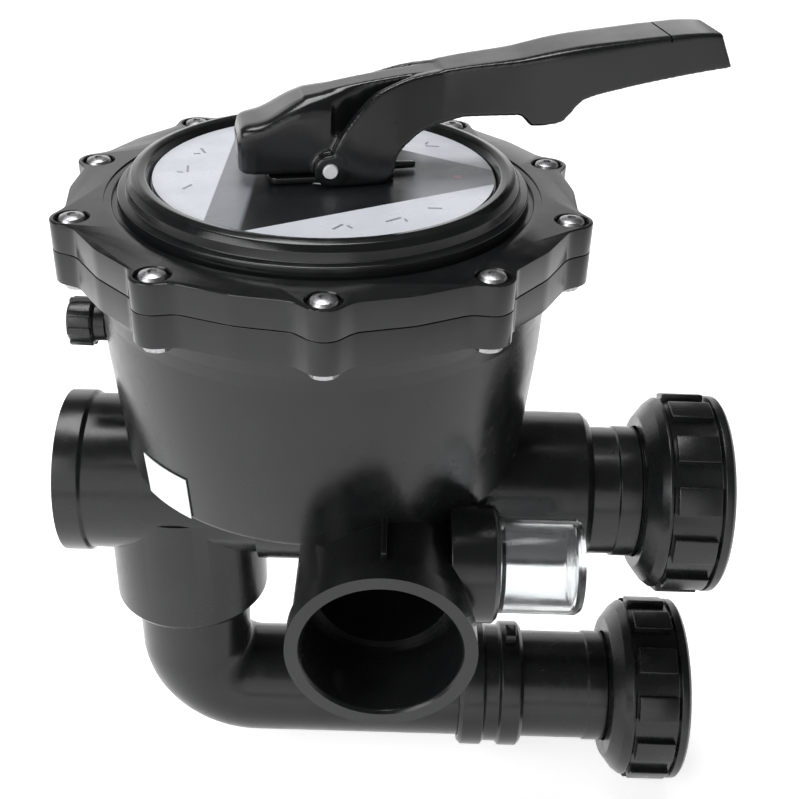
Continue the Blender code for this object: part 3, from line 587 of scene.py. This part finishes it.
def make_cover():
    dome = turned("dome", soften([
        (0.0108, LABEL_SEAT, 0), (0.0108, -0.020, 0), (0.0165, -0.020, 0), (0.0168, -0.003, 0),
        (0.072, -0.003, 0), (0.0835, -0.0109, 0), (0.0925, -0.0109, 0), (0.0925, -0.0006, 0.0004),
        (0.0862, -0.0006, 0.0006), (0.0862, -0.0022, 0.0003), (0.0840, -0.0022, 0.0003),
        (0.0838, 0.0030, 0.0007), (0.0804, 0.0034, 0.0004), (0.0798, 0.0070, 0.0009),
        (0.0780, 0.0094, 0.0018), (0.0752, 0.0102, 0.003), (0.0722, 0.0096, 0.0015),
        (0.0702, LABEL_SEAT, 0)], closed=True), WIDE)
    flange = soft_prism("flange", lugged_outline(FLANGE_WAIST - 0.0001), PARTING_Z + 0.0001, 0, 0.0005)
    flange = combined("flange_ring", flange, cuts=[rod("middle", 0.0895, -0.03, 0.01, WIDE)])
    cuts = bolt_rods("bolt_hole", BOLT_HOLE_R, -0.02, 0.005)
    pocket = [(0, -0.002), (0.0066, -0.002), (0.0066, -0.0006), (0.0070, -0.0001), (0.0074, 0.002), (0, 0.002)]
    for i, (x, y) in enumerate(bolt_places()):
        cuts.append(turned(f"pocket_{i}", pocket, TINY, at(x, y, 0)))
    show(combined("cover_shell", dome, [flange], cuts), GLOSS, "valve", "black_plastic", "valve_cover")


def make_bolts():
    top, bottom = SKIRT_Z - GAP, SKIRT_Z - NUT_HEIGHT
    for i, (x, y) in enumerate(bolt_places(), 1):
        place = at(x, y, 0)
        head = turned("head", [(0, BOLT_END)] + rounded([
            (0.0029, BOLT_END), (0.0029, -0.0017), (0.0054, -0.0017), (0.0054, -0.0008), (0.0047, 0.0004),
            (0.0028, 0.0012)], 0.0006) + [(0, 0.0014)], TINY, place)
        recess = rod("recess", 0.0019, 0.0004, 0.004, 6, place)
        bolt = combined(f"bolt_{i:02}", head, cuts=[recess])
        show(bolt, STEEL, "valve", "fastener_steel", f"cover_bolt_{i:02}")
        hexagon = turned("hexagon", [(BOLT_HOLE_R, bottom), (0.0064, bottom), (0.0064, top),
                                     (BOLT_HOLE_R, top)], 6, place)
        chamfer = turned("chamfer", [(0, bottom), (0.0054, bottom), (0.0062, bottom + 0.0005),
                                     (0.0062, top - 0.0005), (0.0055, top), (0, top)], TINY, place)
        nut = combined(f"nut_{i:02}", hexagon, limits=[chamfer])
        show(nut, STEEL, "valve", "fastener_steel", f"cover_nut_{i:02}")


# ---------------------------------------------------------------- label and selector
def make_label():
    under = LABEL_Z - LABEL_THICK
    disc = turned("label_disc", [(LABEL_BORE, under), (LABEL_R, under), (LABEL_R, LABEL_Z),
                                 (LABEL_BORE, LABEL_Z)], WIDE)
    show(disc, LABEL, "valve", "label_film", "position_label")
    low, high = LABEL_Z - 0.0001, LABEL_Z + 0.00012
    for index, degrees in enumerate(FIELDS):
        bars = []
        for k, (across, outward, long, slant) in enumerate((
            (-0.021, 0.0530, 0.0060, 25), (-0.017, 0.0550, 0.0030, 100), (0.001, 0.0560, 0.0070, 8),
            (0.005, 0.0585, 0.0025, 80), (0.021, 0.0530, 0.0055, -30),
        )):
            turn = Matrix.Rotation(math.radians(degrees), 4, "Z") @ at(
                outward, across, 0, Matrix.Rotation(math.radians(slant), 4, "Z"))
            bars.append(block(f"bar_{k}", (-0.00045, -long / 2, low), (0.00045, long / 2, high), 0, turn))
        show(combined(f"label_marks_{index}", bars[0], bars[1:]), INK, "valve", "label_film")
    mark = block("label_corner_mark", (0.0530, -0.0030, low), (0.0560, 0.0004, high), 0)
    show(mark, RED_INK, "valve", "label_film")


def rounded_rectangle(left, right, half, corner):
    """An outline round the axis, from left of it to right of it."""
    points = []
    for x, y, start in ((right, half, 0), (left, half, 90), (left, -half, 180), (right, -half, 270)):
        centre = (x - math.copysign(corner, x), y - math.copysign(corner, y))
        points += arc(corner, start, start + 90, 10, centre)
    return points


def make_selector():
    turn = Matrix.Rotation(HANDLE_TURN, 4, "Z")
    base = soft_prism("base", rounded_rectangle(-0.024, 0.0270, BASE_HALF, 0.004), LABEL_Z + 0.0005, BASE_TOP,
                      0.0005, turn)
    base = combined("turning_base_part", base, cuts=[rod("base_bore", BASE_BORE, 0, 0.02, SMALL)])
    show(base, HANDLE, "turntable", "black_plastic", "turning_base")
    outline = rounded([(0.0273, -0.0022), (0.0365, -0.0013), (0.0380, 0), (0.0365, 0.0013), (0.0273, 0.0022)],
                      0.0005, closed=True)
    tip = soft_prism("pointer_part", outline, LABEL_Z + 0.0008, LABEL_Z + 0.0032, 0.0004, turn)
    show(tip, HANDLE, "turntable", "black_plastic", "pointer")
    end = FORK_HALF + 0.0003
    pin = turned("pin_part", [(0, -end)] + rounded([
        (0.0026, -end), (PIN_R, 0.0008 - end), (PIN_R, end - 0.0008), (0.0026, end)], 0.0006) + [(0, end)],
        SMALL, HINGE @ ALONG_Y)
    show(pin, WHITE, "shaft", "white_plastic", "handle_pin")


def make_spring():
    """The rotor's spring, copied from the CAD's coil with a mesh of its own."""
    spring = evaluated(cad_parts["rotor_spring"], "spring_coil")
    show(spring, SPRING, "shaft", "inner_steel", "rotor_spring")
    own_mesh(spring)


# ---------------------------------------------------------------- handle
# x, then bottom, shoulder, ridge, half width below, at the shoulder and of the ridge, and lean, in mm
ARM = [
    (46.0, 16.2, 36.2, 36.5, 12.4, 9.6, 7.0, 0), (56.0, 18.4, 37.6, 38.0, 12.4, 10.2, 8.0, 0),
    (77.0, 18.6, 39.2, 40.6, 13.0, 12.0, 9.0, 0), (83.0, 13.9, 39.8, 41.8, 13.2, 12.6, 9.5, 0),
    (94.0, 15.2, 41.2, 44.0, 13.8, 13.6, 10.0, 0), (103.5, 24.4, 42.4, 45.4, 13.8, 13.8, 10.0, 0),
    (118.0, 28.1, 44.4, 46.9, 13.6, 13.6, 10.5, 0), (136.0, 31.5, 46.7, 48.6, 13.4, 13.4, 11.0, 0),
    (151.0, 33.9, 48.2, 49.5, 13.2, 13.2, 11.5, 0), (165.0, 35.7, 48.2, 49.2, 12.8, 12.8, 11.0, 6.0),
]
HOOD = [
    (-35.6, -1.0, 9.0, 11.5, 9.0, 9.0, 5.0, 0), (-34.9, -1.5, 11.6, 14.4, 11.2, 11.2, 6.0, 0),
    (-33.5, -1.8, 13.0, 16.2, 12.8, 12.8, 7.0, 0),
    (-26.0, -1.8, 14.6, 18.0, 14.2, 14.2, 8.0, 0), (-12.0, -1.8, 20.0, 25.3, 14.2, 14.2, 6.5, 0),
    (-6.0, -1.8, 20.0, 27.4, 14.2, 13.4, 6.2, 0), (1.5, -1.8, 18.0, 27.6, 14.0, 12.4, 5.0, 0),
]
BROW = [
    (-9.0, 11.6, 20.0, 27.0, 13.3, 13.1, 6.0, 0), (-3.0, 11.6, 21.5, 28.0, 12.7, 12.3, 5.6, 0),
    (4.0, 11.6, 24.0, 29.2, 10.4, 9.6, 5.2, 0), (10.0, 11.6, 27.0, 30.3, 8.0, 7.2, 5.2, 0),
    (16.0, 11.6, 30.2, 31.3, 6.5, 6.3, 5.2, 0),
]
RIB = [
    (-9.0, 11.6, 24.0, 26.6, 6.3, 6.3, 5.0, 0), (8.0, 11.6, 29.2, 30.3, 6.3, 6.3, 5.2, 0),
    (26.0, 11.6, 32.4, 33.3, 6.3, 6.3, 5.4, 0), (50.0, 18.8, 36.0, 36.4, 6.3, 6.3, 5.6, 0),
]
# x, then height, inner side and outer side at the cheek's foot, then the same at its top, in mm
CHEEK = [
    (1.5, -6.3, 13.8, 18.5, 8.3, 13.8, 18.5), (5.6, -6.3, 13.8, 18.5, 15.3, 13.0, 18.0),
    (11.0, -6.2, 13.8, 18.3, 21.8, 11.5, 16.5), (17.5, -6.2, 13.8, 17.6, 27.9, 10.0, 14.5),
    (20.5, -6.1, 13.8, 17.2, 29.8, 9.5, 13.8), (25.0, -4.5, 13.8, 16.6, 31.6, 9.0, 12.8),
    (27.0, 3.8, 13.0, 16.0, 32.3, 8.6, 12.2), (32.5, 10.0, 11.0, 14.8, 34.0, 7.5, 11.2),
    (38.0, 13.7, 9.0, 13.6, 35.0, 6.7, 10.5), (50.0, 17.4, 6.8, 11.6, 36.6, 5.6, 9.2),
]


def eased(stations, spacing=1.5):
    """Stations at an even spacing, on curves through the given ones that never overshoot them."""
    rows = np.array(stations, float)
    x = rows[:, 0]
    steps = np.diff(x)[:, None]
    slopes = np.diff(rows[:, 1:], axis=0) / steps
    product, total = slopes[:-1] * slopes[1:], slopes[:-1] + slopes[1:]
    inner = np.where(product > 0, 2 * product / np.where(total == 0, 1, total), 0)
    tangents = np.vstack([slopes[:1], inner, slopes[-1:]])
    found = []
    for value in np.linspace(x[0], x[-1], int((x[-1] - x[0]) / spacing) + 1):
        i = min(int(np.searchsorted(x, value, "right")) - 1, len(x) - 2)
        t, h = (value - x[i]) / (x[i + 1] - x[i]), x[i + 1] - x[i]
        row = ((2 * t ** 3 - 3 * t ** 2 + 1) * rows[i, 1:] + (t ** 3 - 2 * t ** 2 + t) * h * tangents[i]
               + (3 * t ** 2 - 2 * t ** 3) * rows[i + 1, 1:] + (t ** 3 - t ** 2) * h * tangents[i + 1])
        found.append((value, *row))
    return found


def crowned(name, stations):
    """A solid along the handle with upright sides and a round back, through stations like ARM's."""
    loops = []
    for x, bottom, shoulder, ridge, low, half, flat, lean in eased(stations):
        rise = [((1 - t * t) * half + t * t * flat, (1 - t) ** 2 * shoulder + (2 - t) * t * ridge)
                for t in (0, 0.25, 0.5, 0.75, 1)]
        loop = [(x, -low, bottom)] + [(x - lean, -y, z) for y, z in rise]
        loop += [(x - lean, y, z) for y, z in reversed(rise)] + [(x, low, bottom)]
        loops.append([Vector(p) / 1000 for p in loop])
    return stacked(name, loops, HINGE)


def side_prism(name, outline, half):
    """An outline in the handle's upright plane, drawn through it from side to side."""
    loops = [[(x, side, z) for x, z in outline] for side in (-half, half)]
    return stacked(name, loops, HINGE)


def make_handle():
    joined = [crowned("hood", HOOD), crowned("brow", BROW), crowned("rib", RIB),
              block("walls", (0, -0.0128, 0.0060), (0.0140, 0.0128, 0.0130), 0, HINGE),
              block("sill", (0, -0.0139, -0.0016), (0.0255, 0.0139, 0.0070), 0, HINGE),
              block("cam", (0.0135, -0.0130, -0.0033), (0.0245, 0.0130, 0.0200), 0, HINGE)]
    for name, sign in (("near", -1), ("far", 1)):
        loops = []
        for x, foot, foot_in, foot_out, top, top_in, top_out in eased(CHEEK):
            loop = [(x, sign * foot_in, foot), (x, sign * foot_out, foot), (x, sign * top_out, top),
                    (x, sign * top_in, top)]
            loops.append([Vector(p) / 1000 for p in loop])
        joined.append(stacked(f"cheek_{name}", loops, HINGE))
        turn = ALONG_Y if sign > 0 else ALONG_MINUS_Y
        joined.append(rod(f"boss_{name}", 0.0064, 0.0138, FORK_HALF + 0.0001, SMALL, HINGE @ turn))
    inside_arm = [(0.0690, 0.0120), (0.0764, 0.0150), (0.0827, 0.0100), (0.0938, 0.0110),
                  (0.1030, 0.0210), (0.1570, 0.0310), (0.1555, 0.0460), (0.1360, 0.0450), (0.0940, 0.0385),
                  (0.0690, 0.0340)]
    inside_hood = [(-0.0300, -0.0100), (0.0130, -0.0100), (0.0130, 0.0105), (-0.0110, 0.0105),
                   (-0.0130, 0.0190), (-0.0260, 0.0130), (-0.0300, 0.0110)]
    cuts = [side_prism("inside_arm", inside_arm, 0.0098), side_prism("inside_hood", inside_hood, 0.0110)]
    rough = combined("handle_rough", crowned("arm", ARM), joined, cuts)
    soft = moulded(rough, "handle_soft", 0.0006, 8)
    seam = side_prism("seam", [(0.1368, 0.0465), (0.1376, 0.0465), (0.1376, 0.0520), (0.1368, 0.0520)], 0.02)
    pin_hole = rod("pin_hole", PIN_R + GAP, -0.03, 0.03, SMALL, HINGE @ ALONG_Y)
    lever = combined("handle_lever", soft, cuts=[seam, pin_hole])
    show(lever, HANDLE, "lever", "black_plastic", "handle", sharp=40)


# ---------------------------------------------------------------- unions, elbow and coupling
def make_union(level, z, neck, start):
    """A tail from the sleeve or the coupling to the union's face, and the nut on it."""
    place = at(FACE_X, 0, z, ALONG_X)
    bore = neck - 0.0045
    tail = turned(f"tail_{level}", soften([
        (bore, start, 0.0005), (neck, start, 0.0008), (neck, -0.0300, 0.0004),
        (neck + 0.0008, -0.0292, 0.0004), (neck + 0.0008, -0.0200, 0.0004), (neck, -0.0192, 0.0004),
        (neck, -0.008, 0.0004),
        (0.0385, -0.008, 0.0005), (0.0385, 0.0, 0.0005), (0.0345, 0.0, 0.0002), (0.0345, -0.003, 0),
        (0.0305, -0.003, 0), (0.0305, 0.0, 0.0002), (bore, 0.0, 0.0006)], closed=True), PORT, place)
    show(tail, BLACK, "valve", "black_plastic", f"union_tail_{level}")
    lip = neck + 0.0010
    nut = turned("nut", soften([
        (lip, -0.0185, 0.0005), (0.0360, -0.0185, 0.0012), (0.0425, -0.0135, 0.0012),
        (0.0450, -0.0102, 0.0008), (0.0450, -0.0090, 0.0004), (0.0440, -0.0082, 0.0004),
        (0.0440, 0.0130, 0.0004), (0.0464, 0.0138, 0.0006), (0.0464, 0.0172, 0.0010),
        (0.0444, 0.0188, 0.0008), (0.0402, 0.0188, 0.0006), (0.0402, -0.0084, 0),
        (lip, -0.0084, 0)], closed=True), PORT, place)
    pads = []
    for i in range(NUT_PADS):
        middle = 360 / NUT_PADS * i
        inner, outer = arc(0.0425, middle - 8, middle + 8, 8), arc(0.0472, middle + 8, middle - 8, 8)
        outline = rounded(inner + outer, 0.0006, closed=True)
        pads.append(soft_prism(f"pad_{i}", outline, -0.0072, 0.0120, 0.0007, place))
    show(combined(f"nut_{level}", nut, pads), KNURL, f"{level}_nut", "black_plastic", f"union_nut_{level}")


def make_elbow():
    """The pipe from the collar down, round the bend and along to the coupling, and the coupling."""
    centre = Vector((LEG_X + BEND_R, 0, LOWER_Z + BEND_R))
    stations = [(Vector((LEG_X, 0, -0.1905)), 0.0)]
    for i in range(BEND_ROWS + 1):
        a = math.pi / 2 * i / BEND_ROWS
        stations.append((centre + Vector((-BEND_R * math.cos(a), 0, -BEND_R * math.sin(a))), a))
    stations.append((Vector((0.0855, 0, LOWER_Z)), math.pi / 2))
    points, faces = [], []
    for radius in (PIPE_R, PIPE_BORE):
        for point, a in stations:
            out = Vector((math.cos(a), 0, math.sin(a)))
            for b in (2 * math.pi * k / PORT for k in range(PORT)):
                points.append(point + radius * (math.cos(b) * out + math.sin(b) * Vector((0, 1, 0))))
    rows = len(stations)
    for shell in (0, 1):
        for row in range(rows - 1):
            for k in range(PORT):
                j = (k + 1) % PORT
                one, two = (shell * rows + row) * PORT, (shell * rows + row + 1) * PORT
                face = [one + k, one + j, two + j, two + k]
                faces.append(face if shell == 0 else face[::-1])
    for row in (0, rows - 1):
        for k in range(PORT):
            j = (k + 1) % PORT
            outer, inner = row * PORT, (rows + row) * PORT
            face = [outer + k, outer + j, inner + j, inner + k]
            faces.append(face[::-1] if row == 0 else face)
    pipe = shape("elbow_tube", points, faces)
    show(pipe, BLACK, "valve", "black_plastic", "elbow_pipe")
    bore = PIPE_R + 2 * GAP
    coupling = turned("coupling", soften([
        (bore, 0.0695, 0), (0.0302, 0.0695, 0.0005), (0.0322, 0.0715, 0.0008), (0.0322, 0.0815, 0.0008),
        (0.0302, 0.0830, 0.0005), (0.0302, 0.0895, 0.0005), (0.0322, 0.0910, 0.0008), (0.0322, 0.1000, 0.0008),
        (0.0300, 0.1020, 0.0005), (bore, 0.1020, 0)], closed=True), PORT, at(0, 0, LOWER_Z, ALONG_X))
    tab = block("tab", (0.0925, -0.0045, LOWER_Z + 0.0300), (0.0985, 0.0045, LOWER_Z + 0.0372), 0.0012)
    show(combined("coupling_sleeve", coupling, [tab]), BLACK, "valve", "black_plastic", "pipe_coupling")


# ---------------------------------------------------------------- small parts
def make_small_parts():
    place = at(0, 0, PLUG_Z, ALONG_MINUS_X)
    plug = turned("plug", [(0, 0.0800)] + rounded([
        (0.0046, 0.0800), (0.0046, 0.0957), (0.0085, 0.0957), (0.0085, 0.1005), (0.0092, 0.1010),
        (0.0098, 0.1022), (0.0098, 0.1110), (0.0086, 0.1122), (0.0040, 0.1124)], 0.0004) + [(0, 0.1124)],
        SMALL, place)
    grips = []
    for i in range(PLUG_GRIPS):
        turn = place @ Matrix.Rotation(2 * math.pi * i / PLUG_GRIPS, 4, "Z")
        grips.append(block(f"grip_{i}", (0.0080, -0.0016, 0.1012), (0.0110, 0.0016, 0.1116), 0.0006, turn))
    show(combined("gauge_plug_cap", plug, grips), KNURL, "plug", "black_plastic", "gauge_plug")
    glass = turned("sight_glass_cup", soften([
        (0.0130, 0.0377, 0), (0.0170, 0.0377, 0), (0.0170, 0.0475, 0.0003), (0.0200, 0.0475, 0.0005),
        (0.0200, 0.0797, 0.001), (0.0185, 0.0820, 0.001), (0, 0.0822, 0), (0, 0.0790, 0),
        (0.0165, 0.0788, 0), (0.0172, 0.0777, 0.0015), (0.0172, 0.0495, 0.0008),
        (0.0130, 0.0475, 0.0004)], closed=True), PORT, at(FRONT_X, GLASS_Y, GLASS_Z, ALONG_X))
    show(glass, CLEAR, "valve", "clear_plastic", "sight_glass")
    loops = []
    (foot, foot_r), (head, head_r) = STICKER
    for off in (GAP, 0.0007):
        low, high = (arc(radius + off, -141.8, -124.3, 16) for radius in (foot_r, head_r))
        loops.append([(x, y, foot) for x, y in low] + [(x, y, head) for x, y in high[::-1]])
    show(stacked("sticker_sheet", loops), PAPER, "valve", "white_plastic", "blank_sticker")


make_body()
make_cover()
make_bolts()
make_label()
make_selector()
make_spring()
make_handle()
make_union("upper", UPPER_Z, 0.0301, -0.0715)
make_union("lower", LOWER_Z, PIPE_R, -0.0785)
make_elbow()
make_small_parts()

INNER = {
    BLACK: ("rotor", "selector_shaft"),
    RUBBER: ("spider_gasket", "shaft_seal_lower", "shaft_seal_upper", "cover_seal", "union_seal_upper",
             "union_seal_lower"),
    SPRING: ("thrust_washer", "rotor_washer"),
    WHITE: ("slip_washer",),
}
for finish, names in INNER.items():
    for name in names:
        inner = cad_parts[name]
        inner.data.materials.clear()
        inner.data.materials.append(finish)


# ---------------------------------------------------------------- studio
CAMERA_PLACE = (-0.13508, -0.46651, 0.33026)
CAMERA_TURN = (58.7294, -1.5714, 0.6949)        # degrees
LENS = 53.77
FLOOR_HALF = 6.0


def make_floor():
    corners = [(x * FLOOR_HALF, y * FLOOR_HALF, 0) for x, y in ((-1, -1), (1, -1), (1, 1), (-1, 1))]
    mesh = mesh_of("floor", corners, [(0, 1, 2, 3)])
    floor = bpy.data.objects.new("floor", mesh)
    floor.location.z = cad_low.z - 0.0005
    bpy.context.scene.collection.objects.link(floor)
    made, tree, shader = new_material("floor_paper")
    shader.inputs["Base Color"].default_value = (0.93, 0.93, 0.93, 1)
    shader.inputs["Emission Color"].default_value = (1, 1, 1, 1)
    shader.inputs["Emission Strength"].default_value = 0.62
    where = node(tree, "ShaderNodeTexCoord").outputs["Object"]
    tree.links.new(ranged(tree, noise(tree, where, 40.0), 0.75, 0.9), shader.inputs["Roughness"])
    mesh.materials.append(made)


def area_light(name, place, aim, size, power):
    light = bpy.data.lights.new(name, "AREA")
    light.shape, light.size, light.size_y = "RECTANGLE", size[0], size[1]
    light.energy = power
    obj = bpy.data.objects.new(name, light)
    obj.location = place
    obj.rotation_euler = (Vector(aim) - Vector(place)).to_track_quat("-Z", "Y").to_euler()
    bpy.context.scene.collection.objects.link(obj)


def make_studio():
    """Four soft boxes, and a surround that is pale near the horizon and dark overhead."""
    middle = (cad_low + cad_high) / 2
    area_light("key", middle + Vector((-1.2, -1.1, 1.0)), middle, (1.3, 1.0), 17)
    area_light("top", middle + Vector((-0.3, 0.3, 1.8)), middle, (1.0, 1.0), 26)
    area_light("front", middle + Vector((-0.6, -2.2, 0.75)), middle + Vector((0, 0, 0.3)), (3.0, 1.4), 17)
    area_light("back", middle + Vector((-0.5, 2.2, 0.62)), middle + Vector((0, 0, 0.2)), (2.6, 1.2), 9)
    world = bpy.data.worlds.new("studio")
    world.use_nodes = True
    tree = world.node_tree
    background = tree.nodes["Background"]
    direction = node(tree, "ShaderNodeTexCoord").outputs["Generated"]
    height = node(tree, "ShaderNodeSeparateXYZ", {"Vector": direction}).outputs["Z"]
    level = ranged(tree, height, 0.62, 0.10, 0.12, 0.36)
    tree.links.new(level, background.inputs["Color"])
    bpy.context.scene.world = world
    bpy.context.scene.view_settings.view_transform = "Standard"


def make_camera():
    camera = bpy.data.cameras.new("camera")
    camera.lens, camera.sensor_width, camera.sensor_fit = LENS, 36.0, "AUTO"
    camera.clip_start, camera.clip_end = 0.01, 50
    obj = bpy.data.objects.new("camera", camera)
    obj.location = CAMERA_PLACE
    obj.rotation_euler = Euler(math.radians(a) for a in CAMERA_TURN)
    bpy.context.scene.collection.objects.link(obj)
    bpy.context.scene.camera = obj


make_floor()
make_studio()
make_camera()
